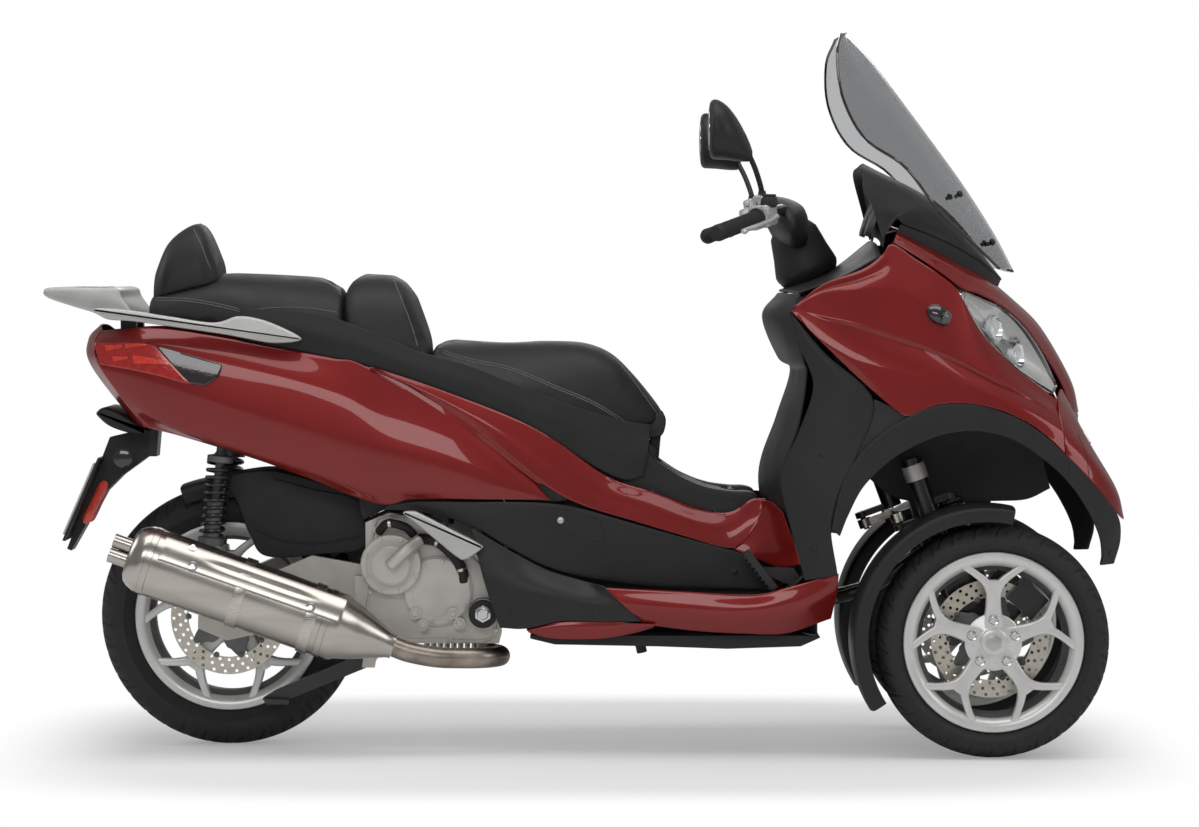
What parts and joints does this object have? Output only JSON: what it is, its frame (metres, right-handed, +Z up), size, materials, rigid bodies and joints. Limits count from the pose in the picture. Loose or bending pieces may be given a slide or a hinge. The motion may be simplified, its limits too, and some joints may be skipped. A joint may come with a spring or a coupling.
{
  "type": "three-wheel motor scooter",
  "caption": "Tilting motor scooter with paired steered front wheels, one driven rear wheel, full bodywork, windscreen, stepped saddle and rear rack.",
  "frame": {"origin": "on the ground under the middle of the length, on the middle plane", "axes": "+X forward, +Y to the rider's left, +Z up"},
  "size_m": [2.2, 0.772, 1.477],
  "materials": {
    "red_paint": "metallic gloss",
    "black_plastic": "satin grained",
    "black_paint": "satin",
    "dark_plastic": "matt",
    "cast_alloy": "as cast",
    "wheel_alloy": "painted satin silver",
    "steel": "brushed",
    "tyre_rubber": "matt",
    "rubber": "matt",
    "red_lens": "gloss",
    "clear_lens": "clear",
    "amber_lens": "gloss",
    "screen": "light tint",
    "vinyl": "grained vinyl",
    "silver_paint": "satin silver"
  },
  "bodies": {
    "chassis": {"frame_front": "black_paint", "frame_lower": "black_paint", "frame_rear": "black_paint", "suspension_arms": "cast_alloy", "engine": "cast_alloy", "swing_arm": "cast_alloy", "exhaust": "steel", "rear_mudguard": "black_plastic", "rear_shocks": "black_paint", "luggage_bin": "dark_plastic", "side_panels": "red_paint", "side_covers": "black_plastic", "sills": "red_paint", "footboards": "black_plastic", "tail_lamps": "red_lens", "grab_rail": "silver_paint", "plate_bracket": "black_plastic", "tunnel_cover": "black_plastic", "leg_shield": "black_plastic", "fairings": "red_paint", "nose": "red_paint", "headlamps": "clear_lens", "wheel_arches": "black_plastic", "cowl": "black_plastic", "windscreen": "screen", "brake_pedal": "rubber", "footpegs": "silver_paint", "indicators": "amber_lens"},
    "handlebar": {"handlebar": "black_paint", "grips": "rubber", "bar_cover": "black_plastic", "mirrors": "black_plastic"},
    "knuckle_left": {"knuckle_left": "black_paint", "mudguard_left": "black_plastic"},
    "knuckle_right": {"knuckle_right": "black_paint", "mudguard_right": "black_plastic"},
    "tie_rod": {"tie_rod": "steel"},
    "wheel_front_left": {"front_wheel_left": "wheel_alloy", "front_tyre_left": "tyre_rubber"},
    "wheel_front_right": {"front_wheel_right": "wheel_alloy", "front_tyre_right": "tyre_rubber"},
    "wheel_rear": {"rear_wheel": "wheel_alloy", "rear_tyre": "tyre_rubber"},
    "saddle": {"saddle_base": "dark_plastic", "rider_seat": "vinyl", "passenger_seat": "vinyl", "lumbar_pad": "vinyl", "backrest": "vinyl"},
    "fuel_lid": {"fuel_lid": "black_plastic"},
    "centre_stand": {"centre_stand": "black_paint"}
  },
  "joints": [
    {"name": "steer", "type": "hinge", "parent": "chassis", "child": "handlebar", "pos_m": [0.821, 0, 0], "axis": [-0.342, 0, 0.9397], "range_deg": [-32, 32]},
    {"name": "steer_left", "type": "hinge", "parent": "chassis", "child": "knuckle_left", "pos_m": [0.885, 0.14, 0], "axis": [-0.342, 0, 0.9397], "range_deg": [-32, 32]},
    {"name": "steer_right", "type": "hinge", "parent": "chassis", "child": "knuckle_right", "pos_m": [0.885, -0.14, 0], "axis": [-0.342, 0, 0.9397], "range_deg": [-32, 32]},
    {"name": "tie_rod_pivot", "type": "hinge", "parent": "knuckle_left", "child": "tie_rod", "pos_m": [0.64094, 0.14, 0.4805], "axis": [-0.342, 0, 0.9397], "range_deg": [-32, 32]},
    {"name": "front_left_spin", "type": "hinge", "parent": "knuckle_left", "child": "wheel_front_left", "pos_m": [0.825, 0.2325, 0.237], "axis": [0, 1, 0], "continuous": true},
    {"name": "front_right_spin", "type": "hinge", "parent": "knuckle_right", "child": "wheel_front_right", "pos_m": [0.825, -0.2325, 0.237], "axis": [0, 1, 0], "continuous": true},
    {"name": "rear_spin", "type": "hinge", "parent": "chassis", "child": "wheel_rear", "pos_m": [-0.736, 0, 0.27], "axis": [0, 1, 0], "continuous": true},
    {"name": "saddle_lift", "type": "hinge", "parent": "chassis", "child": "saddle", "pos_m": [0.15, 0, 0.65], "axis": [0, 1, 0], "range_deg": [0, 60]},
    {"name": "fuel_lid_lift", "type": "hinge", "parent": "chassis", "child": "fuel_lid", "pos_m": [0.303, 0, 0.527], "axis": [0, 1, 0], "range_deg": [0, 95]},
    {"name": "stand_swing", "type": "hinge", "parent": "chassis", "child": "centre_stand", "pos_m": [-0.443, 0, 0.188], "axis": [0, -1, 0], "range_deg": [0, 83]}
  ],
  "couplings": [
    {"joint": "steer_left", "follows": "steer", "ratio": 1},
    {"joint": "steer_right", "follows": "steer", "ratio": 1},
    {"joint": "tie_rod_pivot", "follows": "steer", "ratio": -1}
  ]
}
